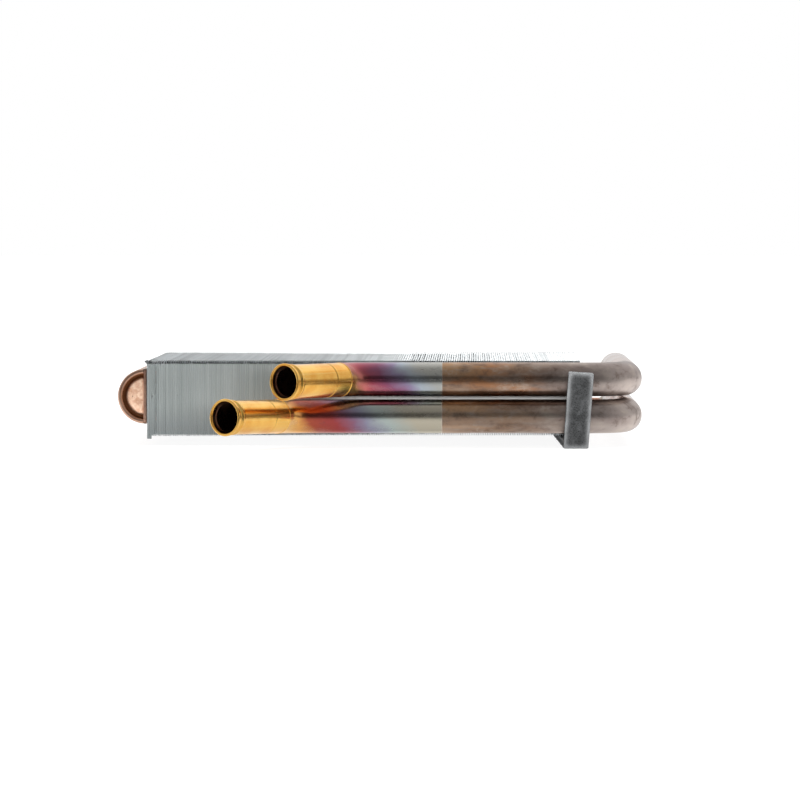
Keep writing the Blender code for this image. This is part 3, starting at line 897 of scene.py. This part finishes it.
def handled(points, number):
    """The dents, the fold's notch and the crumpled corners of the near face's left end."""
    x, y, z = points.T
    near = share(CORE_LOW.y + 1.2 * MM - y, 1.0 * MM)
    for along, up, depth, radius in FACE_DENTS:
        away = np.hypot(x - CORE_LOW.x - along * MM, z - CORE_LOW.z - up * MM) / (radius * MM)
        y += near * depth * MM * share(1.0 - away) ** 0.7
    if abs(number - FOLDED_FIN) <= 1:
        notch = share(1.0 - np.abs(z - FOLD_NOTCH_Z) / (1.8 * MM))
        x += near * notch * 0.35 * MM * (FOLDED_FIN + 0.5 - number)
        y += near * notch * 0.15 * MM
    crumpled = 1.0 - number / CRUMPLED_FINS
    if crumpled > 0:
        corner = share(CORE_LOW.y + 7 * MM - y, 7 * MM) * share(z - CORE_HIGH.z + 3.5 * MM, 3.5 * MM)
        push = np.array([wobble((number * 0.55, py * 420, pz * 330), 1.0, 13) for _, py, pz in points])
        lift = np.array([wobble((number * 0.6, py * 300, pz * 260), 1.0, 17) for _, py, pz in points])
        x += corner * crumpled * (3.4 * push - 0.5) * MM
        z += corner * crumpled * (2.6 * lift - 0.7) * MM
        y += corner * crumpled * 2.4 * np.abs(push) * MM
    above_foot = z - CORE_LOW.z
    if number > 1:  # the bottom edge rises a little towards the right
        deep = share(CORE_LOW.y + 18 * MM - y, 17 * MM)
        rise = (0.6 + 2.0 * number / FIN_COUNT) * MM
        z += deep * share(1.0 - above_foot / (6.0 * MM)) * rise
    else:
        z -= near * share(1.0 - above_foot / (3.0 * MM)) * 0.9 * MM
    return points


def outward(points, faces):
    """The sheet's normal at each point."""
    normals = np.zeros_like(points)
    ahead = points[faces[:, 1]] - points[faces[:, 0]]
    across = np.cross(ahead, points[faces[:, 3]] - points[faces[:, 0]])
    across /= np.maximum(np.linalg.norm(across, axis=1), 1e-15)[:, None]
    for corner in range(4):
        np.add.at(normals, faces[:, corner], across)
    return normals / np.maximum(np.linalg.norm(normals, axis=1), 1e-9)[:, None]


def make_fins():
    rng = np.random.default_rng(11)
    shades = np.random.default_rng(5).random((FIN_PACKS, FINS_PER_PACK)) ** 1.6
    pattern = FinPattern()
    faces = np.array(pattern.faces)
    count = len(pattern.points)
    edges = {(a, b) for face in pattern.faces for a, b in zip(face, face[1:] + face[:1])}
    bent = np.zeros(count)
    for rows in pattern.side_rows.values():
        bent[np.ravel(rows[1:])] = 1.0
    border = np.array([(a, b, b + count, a + count) for a, b in edges if (b, a) not in edges])
    solid = np.vstack([faces[:, ::-1], faces + count, border])
    for pack in range(FIN_PACKS):
        sheets = []
        for k in range(FINS_PER_PACK):
            points = fin_surface(pattern, pack * FINS_PER_PACK + k, rng)
            sheets += [points, points + outward(points, faces) * FIN_THICKNESS]
        form = np.vstack(sheets), np.vstack([solid + 2 * count * k for k in range(FINS_PER_PACK)])
        attributes = {"bent_side": np.tile(bent, 2 * FINS_PER_PACK)}
        attributes["shade"] = np.repeat(shades[pack], 2 * count)
        name, node = f"fin_stack_{pack + 1}", f"fin_pack_{pack + 1}"
        add_piece(name, *form, FIN, "fin_aluminium", (node,), 32.0, attributes)


# Turn tank: a D-shaped shell with rolled rims, a crinkled dished cap in each end, and solder seams

TANK_RADIUS = (TANK_HIGH.z - TANK_LOW.z) / 2
TANK_CENTRE_X = TANK_LOW.x + TANK_RADIUS
TANK_FLAT_X = TANK_HIGH.x
TANK_WALL = 1.0 * MM
D_MIDDLE_X = TANK_FLAT_X - 6.5 * MM
RIM_RADIUS = 1.25 * MM
D_POINTS = 120
CORNER_SHARPNESS = 20
# how far in from the D, how deep, and how dark with painted shade each ring of a cap's recess is
RECESS = [(1.3, -0.6, 1.0), (2.2, 0.0, 1.0), (3.2, 0.3, 1.0), (4.2, 0.2, 1.0), (4.9, -0.3, 0.6)]
RECESS += [(5.5, -0.85, 0.15), (6.2, -1.15, 0.0)]


def d_outline(inset):
    """(x, z) points round the tank's D, moved in by inset along its arc, with its corners rounded."""
    points = []
    for ux, uz in spokes(D_POINTS):
        gap = D_MIDDLE_X - TANK_CENTRE_X
        to_arc = -gap * ux + math.sqrt((TANK_RADIUS - inset) ** 2 - (gap * uz) ** 2)
        to_flat = (TANK_FLAT_X - 0.02 * inset - D_MIDDLE_X) / ux if ux > 1e-4 else 1.0
        reach = (to_arc**-CORNER_SHARPNESS + to_flat**-CORNER_SHARPNESS) ** (-1 / CORNER_SHARPNESS)
        points.append((D_MIDDLE_X + reach * ux, ROW_MIDDLE_Z + reach * uz))
    return points


def make_tank_shell():
    """The arc-shaped wall, from rim to rim, with shallow dents."""
    half = math.pi / 2 + math.asin(0.6 / 15)
    steps, stations = 56, 60
    low_y, high_y = TANK_LOW.y + RIM_RADIUS * 0.8, TANK_HIGH.y - RIM_RADIUS * 0.8
    rings = []
    for station in range(stations + 1):
        y = low_y + (high_y - low_y) * station / stations
        outer, inner = [], []
        for step in range(steps + 1):
            angle = math.pi - half + 2 * half * step / steps
            across = Vector((math.cos(angle), 0, math.sin(angle)))
            point = Vector((TANK_CENTRE_X, y, ROW_MIDDLE_Z)) + TANK_RADIUS * across
            point.x = min(point.x, TANK_FLAT_X)
            dent = 0.07 * MM * wobble(point, 60.0, 9) + 0.03 * MM * wobble(point, 260.0, 12)
            outer.append(point + across * (dent - 0.08 * MM))
            inner.append(point - across * TANK_WALL)
        rings.append(outer + inner[::-1])
    verts, faces = loft(rings, strip_ends=True)
    add_piece("turn_tank_wall", verts, faces, TANK, "tank_copper", ("turn_tank_shell",))


def make_tank_end(name, end_y, side):
    """The rolled rim, and the cap inside it: a recess darkened by painted shade round a crinkled,
    slightly domed middle.
    """
    centre = Vector((TANK_CENTRE_X, end_y - side * RIM_RADIUS, ROW_MIDDLE_Z))
    rings = []
    for step in range(73):
        turn = math.radians(94 + 172 * step / 72)
        out = Vector((math.cos(turn), 0, math.sin(turn)))
        size = RIM_RADIUS * (1.0 + 0.05 * wobble(out, 3.6, 3))
        point = centre + out * (TANK_RADIUS - RIM_RADIUS)
        rings.append([point + size * (u * out + v * Vector((0, 1, 0))) for u, v in spokes(16)])
    add_piece(f"{name}_rolled_rim", *loft(rings, cap_ends=True), TANK, "tank_copper")

    recess_y = end_y - side * 2.9 * MM
    rings, recess_shade = [], []
    for inset, depth, dark in RECESS:
        ring = []
        for x, z in d_outline(inset * MM):
            bumps = 0.1 * MM * wobble((x, side, z), 700.0, 5)
            ring.append(Vector((x, recess_y + side * (bumps - depth * MM), z)))
        rings.append(ring)
        recess_shade.extend([dark] * D_POINTS)
    inner = d_outline(RECESS[-1][0] * MM)
    for share_out in (0.86, 0.72, 0.58, 0.44, 0.3, 0.16, 0.04):
        dome = 1.15 * MM + 0.5 * MM * (1 - share_out**2)
        ring = []
        for x, z in inner:
            x = D_MIDDLE_X + (x - D_MIDDLE_X) * share_out
            z = ROW_MIDDLE_Z + (z - ROW_MIDDLE_Z) * share_out
            crinkle = 0.22 * wobble((x, side, z), 420.0, 5) + 0.1 * wobble((x, side, z), 900.0, 8)
            ring.append(Vector((x, recess_y + side * (dome + crinkle * MM), z)))
        rings.append(ring)
        recess_shade.extend([0.0] * D_POINTS)
    inside = [[p - Vector((0, side * TANK_WALL, 0)) for p in ring] for ring in reversed(rings)]
    form = loft(rings + inside, close_along=True)
    recess = {"recess": recess_shade + recess_shade[::-1]}
    add_piece(f"{name}_pressed", *form, CAP, "tank_copper", (name,), 60.0, recess)


def bead_line(start, end, radius, seed):
    """A straight run of solder of uneven thickness."""
    start, end = Vector(start), Vector(end)
    rings, count = [], 90
    place = facing(start, end - start).to_3x3()
    around = [place @ Vector((u, v, 0)) for u, v in spokes(10)]
    for k in range(count + 1):
        point = start.lerp(end, k / count)
        size = radius * (1.0 + 0.45 * wobble(point, 160.0, seed))
        if k in (0, count):
            size *= 0.3
        rings.append([point + size * offset for offset in around])
    return loft(rings, cap_ends=True)


def make_tank():
    make_tank_shell()
    make_tank_end("turn_tank_front_cap", TANK_LOW.y, -1)
    make_tank_end("turn_tank_back_cap", TANK_HIGH.y, 1)
    seam_x = TANK_FLAT_X + 0.1 * MM
    end_x = seam_x + 0.3 * MM
    low_y, high_y = TANK_LOW.y + 0.6 * MM, TANK_HIGH.y - 0.6 * MM
    low_z, high_z = TANK_LOW.z + 0.8 * MM, TANK_HIGH.z - 0.8 * MM
    seams, end_beads = [], []
    for seed, z in enumerate((ROW_MIDDLE_Z - TANK_RADIUS, ROW_MIDDLE_Z + TANK_RADIUS), 20):
        seams.append(bead_line((seam_x, low_y, z), (seam_x, high_y, z), 0.42 * MM, seed))
    for seed, y in enumerate((TANK_LOW.y + 0.4 * MM, TANK_HIGH.y - 0.4 * MM), 22):
        end_beads.append(bead_line((end_x, y, low_z), (end_x, y, high_z), 0.75 * MM, seed))
    add_piece("tank_end_braze", *joined(end_beads), CUP, "tank_copper")
    add_piece("tank_seam_solder", *joined(seams), SOLDER, "tank_copper")
    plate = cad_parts["tank_header_plate"]
    for material_slot in plate.material_slots:
        material_slot.material = TANK


# Foam strip


def make_foam():
    """The CAD strip's form, remeshed fine, softened at its edges and pitted with open pores."""
    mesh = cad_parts["foam_seal_strip"].data.copy()
    mesh.name = "foam_strip"
    for name in [a.name for a in mesh.attributes if a.name.startswith(("UVMap", "_"))]:
        mesh.attributes.remove(mesh.attributes[name])
    rough = add_object("foam_rough", mesh)
    remesh = rough.modifiers.new("remesh", "REMESH")
    remesh.mode = "VOXEL"
    remesh.voxel_size = 0.55 * MM
    soften = rough.modifiers.new("soften", "SMOOTH")
    soften.factor = 0.5
    soften.iterations = 5
    evaluated = rough.evaluated_get(bpy.context.evaluated_depsgraph_get())
    fine = bpy.data.meshes.new_from_object(evaluated)
    bpy.data.objects.remove(rough, do_unlink=True)
    points = np.array([v.co for v in fine.vertices])
    normals = np.array([v.normal for v in fine.vertices])
    starts, ends = np.array([edge.vertices for edge in fine.edges]).T
    blurred = normals.copy()
    for _ in range(40):
        total = blurred.copy()
        np.add.at(total, starts, blurred[ends])
        np.add.at(total, ends, blurred[starts])
        blurred = total / np.linalg.norm(total, axis=1)[:, None]
    worn = share((1.0 - np.abs(blurred).max(axis=1)) * 6.0)
    for i, here in enumerate(points):
        point = Vector(here)
        pore = noise.cell(point * 1100) * 0.5 + 0.5 * wobble(point, 900.0, 2)
        lump = wobble(point, 130.0, 6)
        points[i] += normals[i] * MM * (0.1 * lump - 0.16 * max(0.0, pore))
        worn[i] *= 0.75 + 0.35 * lump
    form = points, [list(p.vertices) for p in fine.polygons]
    edges = {"worn": share(worn)}
    foam = add_piece("foam_strip_soft", *form, FOAM, "foam", ("foam_seal_strip",), 180.0, edges)


# Stage and light


def flat_sheet(name, low, high, z, surface, tone):
    """A level rectangle of one dull tone."""
    mesh = bpy.data.meshes.new(name)
    corners = [(low[0], low[1], z), (high[0], low[1], z), (high[0], high[1], z), (low[0], high[1], z)]
    mesh.from_pydata(corners, [], [(0, 1, 2, 3)])
    surface.set("Base Color", (tone, tone, tone))
    surface.set("Specular IOR Level", 0.0)
    mesh.materials.append(surface.material)
    return add_object(name, mesh)


def make_stage():
    """A pale floor that glows like a light table, and a dark card that only reflections see."""
    floor_z = cad_box[0].z - 0.2 * MM
    white = Surface("floor_white", 0.0, 0.8)
    floor = flat_sheet("floor", (-12.0, -12.0), (12.0, 12.0), floor_z, white, 0.16)
    distance = white.tree.nodes.new("ShaderNodeVectorMath")
    distance.operation = "LENGTH"
    white.link(white.place, distance.inputs[0])
    white.set("Emission Color", (1.0, 1.0, 1.0))
    white.set("Emission Strength", white.spread(distance.outputs["Value"], 0.12, 0.6, 0.9, 1.0))

    near, far = FRONT_RUN_Y, cad_box[0].y - 3.0
    dark = Surface("card_dark", 0.0, 0.9)
    card = flat_sheet("front_card", (-3.0, far), (3.0, near), floor_z + 0.1 * MM, dark, 0.06)
    deep = dark.split(dark.place)[1]
    dark.set("Alpha", dark.spread(deep, near - 170 * MM, near, 1.0, 0.2))
    card.visible_camera = False
    card.visible_diffuse = False
    card.visible_shadow = False


def make_light(name, place, target, size, power):
    """A soft area light that lights surfaces but isn't itself mirrored in them."""
    data = bpy.data.lights.new(name, "AREA")
    data.shape = "RECTANGLE"
    data.size, data.size_y = size
    data.energy = power
    light = add_object(name, data)
    light.location = place
    light.rotation_euler = (Vector(target) - Vector(place)).to_track_quat("-Z", "Y").to_euler()
    light.visible_camera = False
    light.visible_glossy = False


# The studio's brightness by the angle from the front horizon, over the top, to the back horizon
STUDIO_BANDS = [(0, 0.1), (20, 0.11), (32, 0.34), (62, 0.38), (84, 0.5), (106, 0.74)]
STUDIO_BANDS += [(132, 1.05), (150, 1.05), (166, 0.9), (180, 0.82)]
SIDE_BRIGHTNESS = 0.7


def make_world():
    """White to the camera. Surfaces see a studio: white behind, greyer overhead, dark in front."""
    world = bpy.data.worlds.new("studio")
    bpy.context.scene.world = world
    world.use_nodes = True
    w = Nodes(world.node_tree)
    across, deep, up = w.split(w.add("TexCoord", "Generated"))
    over_the_top = w.math("ARCTAN2", w.math("MAXIMUM", up, 0.0), w.times(deep, -1.0))
    brightest = max(value for _, value in STUDIO_BANDS)
    stops = [(angle / 180, (value / brightest,) * 3) for angle, value in STUDIO_BANDS]
    overhead = w.times(w.ramp(w.times(over_the_top, 1 / math.pi), stops), brightest)
    near_horizon = w.spread(w.math("ABSOLUTE", w.plus(up, 0.03)), 0.05, 0.2, 0.55, 0.0)
    to_the_right = w.spread(across, 0.7, 0.9)
    side = w.minus(SIDE_BRIGHTNESS, w.times(near_horizon, to_the_right))
    sideways = w.spread(w.math("ABSOLUTE", across), 0.55, 0.85)
    studio = w.plus(w.times(overhead, w.minus(1.0, sideways)), w.times(side, sideways))
    seen = w.add("LightPath", "Is Camera Ray")
    background = w.tree.nodes["Background"]
    w.link(w.plus(w.times(studio, w.minus(1.0, seen)), seen), background.inputs["Strength"])
    w.link((1.0, 1.0, 1.0, 1.0), background.inputs["Color"])


def make_lights():
    make_world()
    make_light("overhead_softbox", (0.1, 0.05, 1.4), (0.0, 0.0, 0.0), (2.2, 1.2), 62.0)
    make_light("front_fill", (0.06, -2.0, 0.2), (0.0, 0.0, 0.02), (1.8, 0.22), 48.0)


make_fins()
make_tubes()
make_tank()
make_pipes()
make_foam()
make_stage()
make_lights()
